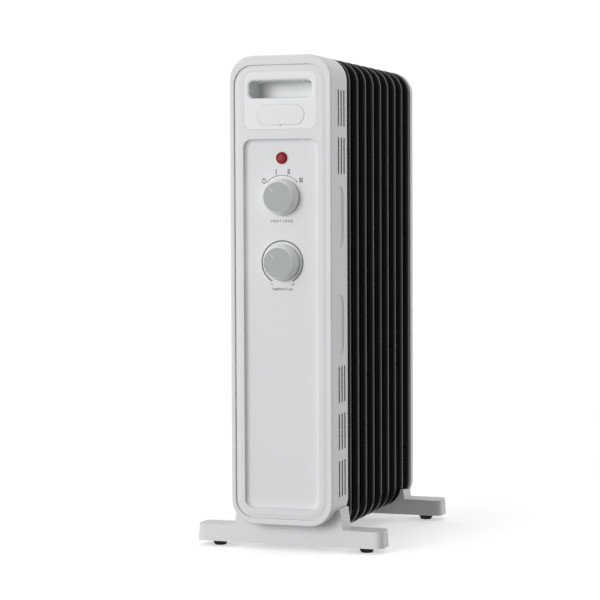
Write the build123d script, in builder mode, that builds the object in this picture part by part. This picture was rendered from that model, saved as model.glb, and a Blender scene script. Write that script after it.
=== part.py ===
from build123d import *
import math
import os

# Oil filled radiator heater, in millimetres.
# X runs to the right of someone facing the control panel, Y from the panel to the rear, Z up.
# The origin is on the floor, below the middle of the heater.

os.makedirs("parts", exist_ok=True)

# ---------------------------------------------------------------- driving sizes

# Outline shared by the control box, the fins and the rear cover
body_width = 132.0
height = 615.0
corner_radius = 30.0

# Control box
box_bottom = 34.7
box_depth = 63.8
box_wall = 2.5
rim_side = 5.6
rim_top = 11.7
rim_bottom = 7.6
rim_edge_radius = 1.8
opening_radius = 24.0

# Fascia, plugged into the rim from behind
fascia_setback = 1.0
fascia_edge_width = 5.2
fascia_edge_fall = 1.7
fascia_edge_blend = 10.0
fascia_edge_radius = 1.0
fascia_clearance = 0.05
flange_thickness = 2.5
panel_wall = 3.5
recess_depth = 6.0
recess_width = 97.6
recess_bottom = 55.0
recess_top = 512.5
recess_radius = 11.0
recess_cove = 5.8
shell_wall = 2.5

# Handle insert above the panel
insert_width = 95.0
insert_bottom = 524.2
insert_top = 595.6
insert_radius = 11.0
insert_clearance = 0.08
insert_chamfer = 0.35
insert_flange = 3.0
pocket_width = 81.0
pocket_bottom = 562.9
pocket_top = 583.8
pocket_radius = 6.0
pocket_depth = 38.0
pocket_wall = 2.0
pocket_lip_radius = 3.6
grip_rib_count = 15
grip_rib_pitch = 4.0
grip_rib_width = 1.6
grip_rib_height = 1.2

# Badge
badge_length = 62.8
badge_width = 25.4
badge_z = 542.0
badge_thickness = 1.6
badge_seat = 1.0
badge_clearance = 0.25

# Knobs, their shafts and the indicator
heat_z = 441.0
thermostat_z = 360.4
lamp_z = 489.0
knob_height = 16.4
knob_gap = 1.1
knob_base_radius = 22.5
knob_face_radius = 18.8
knob_wall = 2.0
knob_edge_radius = 0.9
knob_bulge = 1.0
knob_hub_radius = 6.5
pointer_length = 8.5
pointer_width = 2.2
pointer_depth = 0.5
shaft_radius = 3.0
shaft_flat = 2.2
running_clearance = 0.05
bushing_radius = 4.9
bushing_proud = 4.0
nut_thickness = 2.5
switch_size = 32.0
switch_depth = 24.0
thermostat_width = 38.0
thermostat_tall = 26.0
thermostat_depth = 14.0
lens_flange_radius = 7.6
lens_dome_radius = 5.0
lens_stem_radius = 5.8
lens_proud = 4.2
lamp_radius = 3.0
holder_radius = 8.0
holder_length = 15.0

# Vents and shallow ovals on both sides of the box
vent_count = 3
vent_pitch = 11.3
vent_first = 29.5
vent_width = 4.6
vent_length = 46.0
vent_bottoms = (68.0, 126.7, 185.6, 468.7, 527.4)
oval_centres = (281.8, 416.6)
oval_setback = 33.5
oval_length = 80.0
oval_width = 32.0
oval_slope = 3.5
oval_depth = 1.5

# Fins
fin_count = 9
fin_pitch = 33.67
fin_bottom = 17.0
fin_rim_thickness = 15.0
fin_rim_width = 6.0
fin_rim_radius = 7.2
web_thickness = 6.0
oil_gallery = 3.0
box_to_fins = 5.2
header_radius = 17.5
header_wall = 2.5
header_boss_height = 5.0
lower_header_z = 67.0
upper_header_z = 565.0
channel_width = 18.0
channel_pitch = 34.0
channel_height = 2.0

# Heating element
element_radius = 3.5
hairpin_half_width = 8.0
hairpin_rise = 7.0
element_end_gap = 30.0
element_tail = 12.0
element_flange_radius = 24.0
element_flange_thickness = 6.0

# Back plate of the box and its fasteners
plate_inset = 5.8
plate_thickness = 1.5
plate_clearance = 0.3
plate_hole_radius = 27.0
boss_width = 11.0
boss_height = 9.0
boss_length = 14.0
boss_levels = (250.0, 440.0)
screw_radius = 1.5
stud_radius = 2.5
spacer_radius = 5.0
stud_x = 17.0
stud_levels = (200.0, 500.0)
fascia_screw_x = 30.0

# Rear cover
cover_gap = 0.4
cover_depth = 19.0
cover_wall = 2.2
cover_edge_radius = 9.0
cover_boss_radius = 10.0
cover_boss_height = 4.0

# Feet
foot_width = 246.0
foot_depth = 37.3
foot_bar_height = 20.8
foot_draft = 4.0
foot_corner_radius = 10.0
foot_wall = 2.8
foot_setback = 22.6
foot_fin_gap = 0.4
riser_base_half = 71.5
riser_top_half = 68.0
front_riser_top = 53.5
rear_riser_front_top = 41.5
rear_riser_back_top = 37.0
saddle_clearance = 0.3
pad_height = 7.1
pad_top_radius = 10.6
pad_bottom_radius = 7.2
pad_x = 97.5
pad_stem_radius = 3.0
pad_stem_length = 8.0
foot_screw_inset = 41.0
foot_screw_radius = 2.5
u_bolt_radius = 3.0
u_bolt_gap = 1.0
u_bolt_nut_radius = 5.4

# Small parts inside the box
gland_radius = 7.0
gland_bore = 3.6
gland_flange_radius = 9.5
gland_flange_thickness = 2.5
tip_switch_x = 34.0
tip_switch_z = 125.0
tip_width = 34.0
tip_tall = 48.0
tip_depth = 24.0
tip_wall = 2.0
tip_pin_radius = 1.5
tip_pivot_drop = 8.0
pendulum_length = 24.0
pendulum_play = 0.1
hub_radius = 3.6
bob_radius = 5.0
terminal_inset = 34.0
terminal_z = 120.0
terminal_width = 44.0
terminal_tall = 20.0
terminal_depth = 18.0
cutout_z = 250.0
cutout_radius = 9.0
cutout_depth = 8.0
wire_radius = 1.3
wire_bend = 5.0

# ---------------------------------------------------------------- derived places

foot_screw_x = body_width / 2 - foot_screw_inset
terminal_x = terminal_inset - body_width / 2
knob_proud = knob_height + knob_gap - fascia_setback - recess_depth
fins_depth = (fin_count - 1) * fin_pitch + fin_rim_thickness
total_depth = knob_proud + box_depth + box_to_fins + fins_depth + cover_gap + cover_depth

y_rim = -total_depth / 2 + knob_proud
y_fascia = y_rim + fascia_setback
y_panel = y_fascia + recess_depth
y_panel_back = y_panel + panel_wall
y_lip_back = y_panel_back - flange_thickness
y_box_rear = y_rim + box_depth
y_plate = y_box_rear - plate_inset
y_plate_back = y_plate + plate_thickness
y_knob_back = y_panel - knob_gap
y_knob_face = y_knob_back - knob_height
fin_ys = [y_box_rear + box_to_fins + fin_rim_thickness / 2 + i * fin_pitch for i in range(fin_count)]
y_header_front = fin_ys[0] - web_thickness / 2 - header_boss_height
y_header_rear = fin_ys[-1] + web_thickness / 2 + header_boss_height
y_cover = fin_ys[-1] + fin_rim_thickness / 2 + cover_gap
y_cover_back = y_cover + cover_depth
y_cover_boss = y_cover_back - cover_wall - cover_boss_height
y_foot_front = y_rim + foot_setback + foot_depth / 2
y_foot_rear = fin_ys[-1] - fin_rim_thickness / 2 - foot_fin_gap - foot_depth / 2
y_u_bolt = fin_ys[-2] + fin_rim_thickness / 2 + u_bolt_radius + u_bolt_gap

opening_width = body_width - 2 * rim_side
opening_bottom = box_bottom + rim_bottom
opening_top = height - rim_top
inner_width = body_width - 2 * box_wall
bar_top = pad_height + foot_bar_height
header_levels = (lower_header_z, upper_header_z)


def at_y(y):
    """Plane facing the front of the heater, with local x = X and local y = Z."""
    return Plane.XZ.offset(-y)


def outline(width, bottom, top, radius):
    """Rounded rectangle about the middle plane, between two heights."""
    with Locations((0, (bottom + top) / 2)):
        RectangleRounded(width, top - bottom, radius)


def inset_outline(inset, bottom):
    """The body's outline, drawn in by an inset."""
    outline(body_width - 2 * inset, bottom + inset, height - inset, corner_radius - inset)


# ---------------------------------------------------------------- control box housing

with BuildPart() as control_box_housing:
    with BuildSketch(at_y(y_rim)):
        inset_outline(0, box_bottom)
    extrude(amount=-box_depth)
    fillet(control_box_housing.faces().sort_by(Axis.Y)[0].edges(), rim_edge_radius)
    with BuildSketch(at_y(y_rim)):
        outline(opening_width, opening_bottom, opening_top, opening_radius)
    extrude(amount=-box_depth, mode=Mode.SUBTRACT)
    fillet(control_box_housing.faces().sort_by(Axis.Y)[0].inner_wires()[0].edges(), rim_edge_radius / 2)
    with BuildSketch(at_y(y_lip_back)):
        inset_outline(box_wall, box_bottom)
    extrude(amount=-box_depth, mode=Mode.SUBTRACT)
    # Blocks that the back plate screws into
    with BuildSketch(at_y(y_plate)):
        for side in (-1, 1):
            with Locations(*[(side * (inner_width - boss_width + 1) / 2, z) for z in boss_levels]):
                Rectangle(boss_width, boss_height)
    extrude(amount=boss_length)
    with BuildSketch(at_y(y_plate)):
        for side in (-1, 1):
            with Locations(*[(side * (inner_width - boss_width) / 2, z) for z in boss_levels]):
                Circle(screw_radius)
    extrude(amount=boss_length - 2, mode=Mode.SUBTRACT)
    # Vent slots through both side walls
    with BuildSketch(Plane.YZ):
        for bottom in vent_bottoms:
            for index in range(vent_count):
                with Locations((y_rim + vent_first + index * vent_pitch, bottom + vent_length / 2)):
                    SlotOverall(vent_length, vent_width, rotation=90)
    extrude(amount=body_width, both=True, mode=Mode.SUBTRACT)
    # Shallow ovals with sloping walls
    for side in (-1, 1):
        for z in oval_centres:
            with BuildSketch(Plane.YZ.offset(side * body_width / 2)):
                with Locations((y_rim + oval_setback, z)):
                    SlotOverall(oval_length, oval_width, rotation=90)
            with BuildSketch(Plane.YZ.offset(side * (body_width / 2 - oval_depth))):
                with Locations((y_rim + oval_setback, z)):
                    SlotOverall(oval_length - 2 * oval_slope, oval_width - 2 * oval_slope, rotation=90)
            loft(mode=Mode.SUBTRACT)
    # Cable gland hole in the left wall, foot screw holes in the floor, fascia screw holes in the rim
    with BuildSketch(Plane.YZ.offset(-body_width / 2)):
        with Locations((y_rim + oval_setback, oval_centres[0])):
            Circle(gland_radius + running_clearance)
    extrude(amount=2 * box_wall, mode=Mode.SUBTRACT)
    with BuildSketch(Plane.XY.offset(box_bottom)):
        with Locations((-foot_screw_x, y_foot_front), (foot_screw_x, y_foot_front)):
            Circle(foot_screw_radius + running_clearance)
    extrude(amount=box_wall, mode=Mode.SUBTRACT)

control_box_housing.part.label = "control_box_housing"
export_step(control_box_housing.part, "parts/control_box_housing.step")

# ---------------------------------------------------------------- front fascia

plug_width = opening_width - 2 * fascia_clearance
plug_bottom = opening_bottom + fascia_clearance
plug_top = opening_top - fascia_clearance
plug_radius = opening_radius - fascia_clearance
flange_inset = box_wall + plate_clearance

with BuildPart() as front_fascia:
    with BuildSketch(at_y(y_fascia)):
        outline(plug_width, plug_bottom, plug_top, plug_radius)
    extrude(amount=-(y_panel_back - y_fascia))
    face = front_fascia.faces().sort_by(Axis.Y)[0]
    chamfer(face.edges(), fascia_edge_width, fascia_edge_fall, reference=face)
    outer_edges = front_fascia.edges().filter_by_position(
        Axis.Y, y_fascia + fascia_edge_fall - 0.01, y_fascia + fascia_edge_fall + 0.01
    )
    fillet(outer_edges, fascia_edge_radius)
    fillet(front_fascia.faces().sort_by(Axis.Y)[0].edges(), fascia_edge_blend)
    with BuildSketch(at_y(y_lip_back)):
        inset_outline(flange_inset, box_bottom)
    extrude(amount=-flange_thickness)
    # Control panel recess with a coved edge around its floor
    with BuildSketch(at_y(y_fascia)):
        outline(recess_width, recess_bottom, recess_top, recess_radius)
    extrude(amount=-recess_depth, mode=Mode.SUBTRACT)
    recess_floor = front_fascia.faces(Select.LAST).sort_by(Axis.Y)[-1]
    fillet(recess_floor.edges(), recess_cove)
    # Openings for the handle insert, the two bushings and the indicator
    with BuildSketch(at_y(y_fascia)):
        outline(
            insert_width + 2 * insert_clearance,
            insert_bottom - insert_clearance,
            insert_top + insert_clearance,
            insert_radius + insert_clearance,
        )
        with Locations((0, heat_z), (0, thermostat_z)):
            Circle(bushing_radius + 2 * running_clearance)
        with Locations((0, lamp_z)):
            Circle(lens_stem_radius + running_clearance)
    extrude(amount=-(y_panel_back - y_fascia), mode=Mode.SUBTRACT)
    # Relief behind the raised border, so the moulding keeps an even wall
    with BuildSketch(at_y(y_panel_back)):
        outline(
            plug_width - 2 * shell_wall,
            plug_bottom + shell_wall,
            plug_top - shell_wall,
            plug_radius - shell_wall,
        )
        with Locations((0, (recess_bottom - shell_wall + plug_top) / 2)):
            Rectangle(
                recess_width + 2 * shell_wall,
                plug_top - recess_bottom + shell_wall,
                mode=Mode.SUBTRACT,
            )
    extrude(amount=y_panel_back - y_fascia - shell_wall, mode=Mode.SUBTRACT)

front_fascia.part.label = "front_fascia"
export_step(front_fascia.part, "parts/front_fascia.step")

# ---------------------------------------------------------------- handle insert

y_pocket_back = y_fascia + pocket_depth

with BuildPart() as handle_insert:
    with BuildSketch(at_y(y_fascia)):
        outline(insert_width, insert_bottom, insert_top, insert_radius)
    extrude(amount=-(y_panel_back - y_fascia))
    chamfer(handle_insert.faces().sort_by(Axis.Y)[0].edges(), insert_chamfer)
    with BuildSketch(at_y(y_panel_back)):
        outline(
            insert_width + 2 * insert_flange,
            insert_bottom - insert_flange,
            insert_top + insert_flange,
            insert_radius + insert_flange,
        )
    extrude(amount=-pocket_wall)
    # Hollow behind the face plate
    with BuildSketch(at_y(y_panel_back + pocket_wall)):
        outline(
            insert_width - 2 * pocket_wall,
            insert_bottom + pocket_wall,
            insert_top - pocket_wall,
            insert_radius - pocket_wall,
        )
    extrude(amount=y_panel_back + pocket_wall - y_fascia - shell_wall, mode=Mode.SUBTRACT)
    # Finger pocket: a tub behind the plate, its mouth rolled inwards
    with BuildSketch(at_y(y_fascia + shell_wall / 2)):
        outline(
            pocket_width + 2 * pocket_wall,
            pocket_bottom - pocket_wall,
            pocket_top + pocket_wall,
            pocket_radius + pocket_wall,
        )
    extrude(amount=-(pocket_depth - shell_wall / 2 + pocket_wall))
    lip = pocket_lip_radius + pocket_wall
    with BuildSketch(at_y(y_fascia + shell_wall)):
        outline(pocket_width + 2 * lip, pocket_bottom - lip, pocket_top + lip, pocket_radius + lip)
    extrude(amount=-pocket_lip_radius)
    with BuildSketch(at_y(y_fascia)):
        outline(pocket_width, pocket_bottom, pocket_top, pocket_radius)
    extrude(amount=-pocket_depth, mode=Mode.SUBTRACT)
    fillet(handle_insert.faces().sort_by(Axis.Y)[0].inner_wires()[0].edges(), pocket_lip_radius)
    # Grip ribs on the pocket's ceiling
    with BuildSketch(at_y(y_fascia + 2 * pocket_lip_radius)):
        with Locations((0, pocket_top - grip_rib_height / 2 + 0.2)):
            with GridLocations(grip_rib_pitch, 1, grip_rib_count, 1):
                Rectangle(grip_rib_width, grip_rib_height + 0.4)
    extrude(amount=-(pocket_depth - 2 * pocket_lip_radius))
    # Seat for the badge
    with BuildSketch(at_y(y_fascia)):
        with Locations((0, badge_z)):
            SlotOverall(badge_length, badge_width)
    extrude(amount=-badge_seat, mode=Mode.SUBTRACT)

handle_insert.part.label = "handle_insert"
export_step(handle_insert.part, "parts/handle_insert.step")

# ---------------------------------------------------------------- badge plate

with BuildPart() as badge_plate:
    with BuildSketch(at_y(y_fascia + badge_seat)):
        with Locations((0, badge_z)):
            SlotOverall(badge_length - 2 * badge_clearance, badge_width - 2 * badge_clearance)
    extrude(amount=badge_thickness)
    fillet(badge_plate.faces().sort_by(Axis.Y)[0].edges(), badge_thickness - badge_seat - 0.1)

badge_plate.part.label = "badge_plate"
export_step(badge_plate.part, "parts/badge_plate.step")

# ---------------------------------------------------------------- indicator

stem_length = panel_wall + 5.0

with BuildPart() as indicator_lens:
    with BuildSketch(at_y(y_panel)):
        with Locations((0, lamp_z)):
            Circle(lens_flange_radius)
    extrude(amount=1.2)
    with BuildSketch(at_y(y_panel - 1.2)):
        with Locations((0, lamp_z)):
            Circle(lens_dome_radius)
    extrude(amount=lens_proud - 1.2, taper=8)
    fillet(indicator_lens.faces().sort_by(Axis.Y)[0].edges(), 1.8)
    with BuildSketch(at_y(y_panel)):
        with Locations((0, lamp_z)):
            Circle(lens_stem_radius)
    extrude(amount=-stem_length)
    with BuildSketch(at_y(y_panel + stem_length)):
        with Locations((0, lamp_z)):
            Circle(lens_stem_radius - 1.4)
    extrude(amount=stem_length, mode=Mode.SUBTRACT)

indicator_lens.part.label = "indicator_lens"
export_step(indicator_lens.part, "parts/indicator_lens.step")

y_holder_back = y_panel_back + holder_length

with BuildPart() as lamp_holder:
    with BuildSketch(at_y(y_panel_back)):
        with Locations((0, lamp_z)):
            Circle(holder_radius)
    extrude(amount=-holder_length)
    with BuildSketch(at_y(y_panel_back)):
        with Locations((0, lamp_z)):
            Circle(lens_stem_radius + running_clearance)
    extrude(amount=-(holder_length - pocket_wall), mode=Mode.SUBTRACT)

lamp_holder.part.label = "lamp_holder"
export_step(lamp_holder.part, "parts/lamp_holder.step")

with BuildPart() as neon_lamp:
    with BuildSketch(at_y(y_holder_back - pocket_wall)):
        with Locations((0, lamp_z)):
            Circle(lamp_radius)
    extrude(amount=holder_length - pocket_wall + 1.0)
    fillet(neon_lamp.faces().sort_by(Axis.Y)[0].edges(), 1.5)

neon_lamp.part.label = "neon_lamp"
export_step(neon_lamp.part, "parts/neon_lamp.step")

# ---------------------------------------------------------------- knobs, shafts, switch and thermostat

y_bushing_front = y_panel - bushing_proud
y_hub_back = y_bushing_front - 1.5
y_shaft_front = y_knob_face + knob_wall + 1.5
knob_taper = math.degrees(math.atan((knob_base_radius - knob_face_radius) / knob_height))

for name, z, body_depth in (
    ("heat_knob", heat_z, switch_depth),
    ("thermostat_knob", thermostat_z, thermostat_depth),
):
    with BuildPart() as knob:
        # Barrel shaped body turned about the shaft
        with BuildSketch(Plane.XY.offset(z)):
            with BuildLine():
                Line((0, y_knob_back), (knob_base_radius, y_knob_back))
                ThreePointArc(
                    (knob_base_radius, y_knob_back),
                    (
                        (knob_base_radius + knob_face_radius) / 2 + knob_bulge,
                        (y_knob_back + y_knob_face) / 2,
                    ),
                    (knob_face_radius, y_knob_face),
                )
                Line((knob_face_radius, y_knob_face), (0, y_knob_face))
                Line((0, y_knob_face), (0, y_knob_back))
            make_face()
        revolve(axis=Axis((0, 0, z), (0, 1, 0)))
        fillet(knob.faces().sort_by(Axis.Y)[0].edges(), knob_edge_radius)
        fillet(knob.faces().sort_by(Axis.Y)[-1].edges(), knob_edge_radius)
        with BuildSketch(at_y(y_knob_back)):
            with Locations((0, z)):
                Circle(knob_base_radius - knob_wall)
        extrude(amount=knob_height - knob_wall, taper=knob_taper, mode=Mode.SUBTRACT)
        with BuildSketch(at_y(y_hub_back)):
            with Locations((0, z)):
                Circle(knob_hub_radius)
        extrude(amount=y_hub_back - y_knob_face - knob_wall)
        with BuildSketch(at_y(y_hub_back)):
            with Locations((0, z)):
                Circle(shaft_radius)
            with Locations((0, z + shaft_flat + shaft_radius)):
                Rectangle(2 * shaft_radius, 2 * shaft_radius, mode=Mode.SUBTRACT)
        extrude(amount=y_hub_back - y_shaft_front, mode=Mode.SUBTRACT)
        # Pointer groove in the face
        pointer_middle = (knob_face_radius + 6) / 2
        with BuildSketch(at_y(y_knob_face)):
            with Locations((-pointer_middle * math.sqrt(0.5), z + pointer_middle * math.sqrt(0.5))):
                SlotOverall(pointer_length, pointer_width, rotation=135)
        extrude(amount=-pointer_depth, mode=Mode.SUBTRACT)

    knob.part.label = name
    export_step(knob.part, f"parts/{name}.step")

    with BuildPart() as shaft:
        with BuildSketch(at_y(y_hub_back)):
            with Locations((0, z)):
                Circle(shaft_radius)
            with Locations((0, z + shaft_flat + shaft_radius)):
                Rectangle(2 * shaft_radius, 2 * shaft_radius, mode=Mode.SUBTRACT)
        extrude(amount=y_hub_back - y_shaft_front)
        with BuildSketch(at_y(y_hub_back)):
            with Locations((0, z)):
                Circle(shaft_radius)
        extrude(amount=-(y_panel_back + body_depth - 4.0 - y_hub_back))

    shaft.part.label = name.replace("knob", "shaft")
    export_step(shaft.part, f"parts/{shaft.part.label}.step")

for name, z, wide, tall, body_depth in (
    ("heat_switch", heat_z, switch_size, switch_size, switch_depth),
    ("thermostat_body", thermostat_z, thermostat_width, thermostat_tall, thermostat_depth),
):
    with BuildPart() as control:
        with BuildSketch(at_y(y_panel_back)):
            with Locations((0, z)):
                RectangleRounded(wide, tall, 3)
        extrude(amount=-body_depth)
        with BuildSketch(at_y(y_panel_back)):
            with Locations((0, z)):
                Circle(bushing_radius)
        extrude(amount=y_panel_back - y_bushing_front)
        with BuildSketch(at_y(y_bushing_front)):
            with Locations((0, z)):
                Circle(shaft_radius + running_clearance)
        extrude(amount=-(y_panel_back + body_depth - 3.5 - y_bushing_front), mode=Mode.SUBTRACT)

    control.part.label = name
    export_step(control.part, f"parts/{name}.step")

with BuildPart() as bushing_nuts:
    with BuildSketch(at_y(y_panel)):
        with Locations((0, heat_z), (0, thermostat_z)):
            RegularPolygon(8.0, 6)
            Circle(bushing_radius + running_clearance, mode=Mode.SUBTRACT)
    extrude(amount=nut_thickness)

bushing_nuts.part.label = "bushing_nuts"
export_step(bushing_nuts.part, "parts/bushing_nuts.step")

y_switch_back = y_panel_back + switch_depth
y_thermostat_back = y_panel_back + thermostat_depth

with BuildPart() as switch_terminals:
    with BuildSketch(at_y(y_switch_back)):
        with Locations((0, heat_z)):
            with GridLocations(12, 14, 2, 2):
                Rectangle(0.8, 6.3)
    extrude(amount=-8)

switch_terminals.part.label = "switch_terminals"
export_step(switch_terminals.part, "parts/switch_terminals.step")

with BuildPart() as thermostat_strip:
    with BuildSketch(at_y(y_thermostat_back)):
        with Locations((12, thermostat_z)):
            RectangleRounded(60, 8, 1.5)
    extrude(amount=-1.0)
    with BuildSketch(at_y(y_thermostat_back + 1.0)):
        with Locations((-12, thermostat_z)):
            Circle(3)
    extrude(amount=-2.0)

thermostat_strip.part.label = "thermostat_strip"
export_step(thermostat_strip.part, "parts/thermostat_strip.step")

# ---------------------------------------------------------------- back plate of the control box

with BuildPart() as back_plate:
    with BuildSketch(at_y(y_plate)):
        inset_outline(box_wall + plate_clearance, box_bottom)
        with Locations((0, lower_header_z)):
            Circle(plate_hole_radius, mode=Mode.SUBTRACT)
        for side in (-1, 1):
            with Locations(*[(side * (inner_width - boss_width) / 2, z) for z in boss_levels]):
                Circle(screw_radius + running_clearance, mode=Mode.SUBTRACT)
            with Locations(*[(side * stud_x, z) for z in stud_levels]):
                Circle(stud_radius + running_clearance, mode=Mode.SUBTRACT)
    extrude(amount=-plate_thickness)

back_plate.part.label = "back_plate"
export_step(back_plate.part, "parts/back_plate.step")

with BuildPart() as back_plate_screws:
    for side in (-1, 1):
        screw_spots = [(side * (inner_width - boss_width) / 2, z) for z in boss_levels]
        with BuildSketch(at_y(y_plate_back)):
            with Locations(*screw_spots):
                Circle(screw_radius)
        extrude(amount=plate_thickness + boss_length - 4)
        with BuildSketch(at_y(y_plate_back)):
            with Locations(*screw_spots):
                Circle(2 * screw_radius)
        extrude(amount=-2.0)

back_plate_screws.part.label = "back_plate_screws"
export_step(back_plate_screws.part, "parts/back_plate_screws.step")

y_web_front = fin_ys[0] - web_thickness / 2
stud_spots = [(side * stud_x, z) for side in (-1, 1) for z in stud_levels]

with BuildPart() as mounting_studs:
    with BuildSketch(at_y(y_web_front)):
        with Locations(*stud_spots):
            Circle(stud_radius)
    extrude(amount=y_web_front - y_plate + 7.0)

mounting_studs.part.label = "mounting_studs"
export_step(mounting_studs.part, "parts/mounting_studs.step")

with BuildPart() as stud_spacers:
    with BuildSketch(at_y(y_web_front)):
        with Locations(*stud_spots):
            Circle(spacer_radius)
            Circle(stud_radius + running_clearance, mode=Mode.SUBTRACT)
    extrude(amount=y_web_front - y_plate_back)

stud_spacers.part.label = "stud_spacers"
export_step(stud_spacers.part, "parts/stud_spacers.step")

with BuildPart() as stud_nuts:
    with BuildSketch(at_y(y_plate)):
        with Locations(*stud_spots):
            RegularPolygon(4.6, 6)
            Circle(stud_radius + running_clearance, mode=Mode.SUBTRACT)
    extrude(amount=4.0)

stud_nuts.part.label = "stud_nuts"
export_step(stud_nuts.part, "parts/stud_nuts.step")

fascia_screw_spots = [
    (side * fascia_screw_x, z)
    for side in (-1, 1)
    for z in (height - (rim_top + box_wall) / 2, box_bottom + (rim_bottom + box_wall) / 2)
]

with BuildPart() as fascia_screws:
    with BuildSketch(at_y(y_panel_back)):
        with Locations(*fascia_screw_spots):
            Circle(2.0)
    extrude(amount=-1.6)

fascia_screws.part.label = "fascia_screws"
export_step(fascia_screws.part, "parts/fascia_screws.step")

# ---------------------------------------------------------------- fins

for number, y in enumerate(fin_ys, start=1):
    with BuildPart() as fin:
        with BuildSketch(at_y(y - fin_rim_thickness / 2)):
            inset_outline(0, fin_bottom)
        extrude(amount=-fin_rim_thickness)
        fillet(fin.edges(), fin_rim_radius)
        for side in (-1, 1):
            # Pan inside the rolled rim, down to the web
            with BuildSketch(at_y(y + side * web_thickness / 2)):
                inset_outline(fin_rim_width, fin_bottom)
            extrude(amount=-side * fin_rim_thickness, mode=Mode.SUBTRACT)
            # Coned bosses around the two headers
            with BuildSketch(at_y(y + side * web_thickness / 2)):
                with Locations(*[(0, z) for z in header_levels]):
                    Circle(header_radius + header_wall + header_boss_height)
            extrude(amount=-side * header_boss_height, taper=45)
            # Pressed channels between the headers
            with BuildSketch(at_y(y + side * web_thickness / 2)):
                channel_length = upper_header_z - lower_header_z - 4 * header_radius
                with Locations((0, (upper_header_z + lower_header_z) / 2)):
                    with GridLocations(channel_pitch, 1, 3, 1):
                        SlotOverall(channel_length, channel_width, rotation=90)
            extrude(amount=-side * channel_height, taper=40)
        # Oil gallery between the two sheets, open to the headers
        with BuildSketch(at_y(y)):
            inset_outline(2.5 * fin_rim_width, fin_bottom)
        extrude(amount=oil_gallery / 2, both=True, mode=Mode.SUBTRACT)
        with BuildSketch(at_y(y)):
            with Locations(*[(0, z) for z in header_levels]):
                Circle(header_radius)
        extrude(amount=fin_rim_thickness, both=True, mode=Mode.SUBTRACT)

    fin.part.label = f"fin_{number}"
    export_step(fin.part, f"parts/fin_{number}.step")

# ---------------------------------------------------------------- collectors and header caps

boss_reach = web_thickness / 2 + header_boss_height

for name, z in (("lower_collectors", lower_header_z), ("upper_collectors", upper_header_z)):
    with BuildPart() as collectors:
        for y in fin_ys[:-1]:
            with BuildSketch(at_y(y + boss_reach)):
                with Locations((0, z)):
                    Circle(header_radius + header_wall)
                    Circle(header_radius, mode=Mode.SUBTRACT)
            extrude(amount=-(fin_pitch - 2 * boss_reach))

    collectors.part.label = name
    export_step(collectors.part, f"parts/{name}.step")

with BuildPart() as header_caps:
    with BuildSketch(at_y(y_header_front)):
        with Locations((0, upper_header_z)):
            Circle(header_radius + header_wall)
    extrude(amount=2.5)
    with BuildSketch(at_y(y_header_rear)):
        with Locations(*[(0, z) for z in header_levels]):
            Circle(header_radius + header_wall)
    extrude(amount=-2.5)
    with BuildSketch(at_y(y_header_rear + 2.5)):
        with Locations(*[(0, z) for z in header_levels]):
            Circle(cover_boss_radius - 2)
    extrude(amount=-(y_cover_boss - y_header_rear - 2.5))
    with BuildSketch(at_y(y_cover_boss)):
        with Locations(*[(0, z) for z in header_levels]):
            Circle(screw_radius)
    extrude(amount=6.0, mode=Mode.SUBTRACT)

header_caps.part.label = "header_caps"
export_step(header_caps.part, "parts/header_caps.step")

# ---------------------------------------------------------------- heating element

y_element_front = y_header_front - element_flange_thickness - element_tail
hairpin_levels = (lower_header_z - hairpin_rise, lower_header_z + hairpin_rise)
element_legs = [(side * hairpin_half_width, z) for side in (-1, 1) for z in hairpin_levels]

with BuildPart() as heating_element:
    for z in hairpin_levels:
        y_bend = y_header_rear - element_end_gap
        with BuildLine(Plane.XY.offset(z)) as hairpin:
            left = Line((-hairpin_half_width, y_element_front), (-hairpin_half_width, y_bend))
            bend = TangentArc(left @ 1, (hairpin_half_width, y_bend), tangent=left % 1)
            Line(bend @ 1, (hairpin_half_width, y_element_front))
        with BuildSketch(Plane(origin=left @ 0, z_dir=left % 0)):
            Circle(element_radius)
        sweep(path=hairpin.wire())

heating_element.part.label = "heating_element"
export_step(heating_element.part, "parts/heating_element.step")

with BuildPart() as element_flange:
    with BuildSketch(at_y(y_header_front)):
        with Locations((0, lower_header_z)):
            RegularPolygon(element_flange_radius, 6)
        with Locations(*element_legs):
            Circle(element_radius, mode=Mode.SUBTRACT)
    extrude(amount=element_flange_thickness)

element_flange.part.label = "element_flange"
export_step(element_flange.part, "parts/element_flange.step")

# ---------------------------------------------------------------- rear cover

with BuildPart() as rear_cover:
    with BuildSketch(at_y(y_cover)):
        inset_outline(0, fin_bottom)
    extrude(amount=-cover_depth)
    fillet(rear_cover.faces().sort_by(Axis.Y)[-1].edges(), cover_edge_radius)
    with BuildSketch(at_y(y_cover)):
        inset_outline(cover_wall, fin_bottom)
    extrude(amount=-(cover_depth - cover_edge_radius), mode=Mode.SUBTRACT)
    with BuildSketch(at_y(y_cover)):
        inset_outline(cover_edge_radius, fin_bottom)
    extrude(amount=-(cover_depth - cover_wall), mode=Mode.SUBTRACT)
    with BuildSketch(at_y(y_cover_boss)):
        with Locations(*[(0, z) for z in header_levels]):
            Circle(cover_boss_radius)
    extrude(amount=-cover_boss_height)
    # Counterbored screw holes
    with BuildSketch(at_y(y_cover_back)):
        with Locations(*[(0, z) for z in header_levels]):
            Circle(6.0)
    extrude(amount=3.0, mode=Mode.SUBTRACT)
    with BuildSketch(at_y(y_cover_back)):
        with Locations(*[(0, z) for z in header_levels]):
            Circle(screw_radius + 2 * running_clearance)
    extrude(amount=cover_wall + cover_boss_height, mode=Mode.SUBTRACT)

rear_cover.part.label = "rear_cover"
export_step(rear_cover.part, "parts/rear_cover.step")

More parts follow.
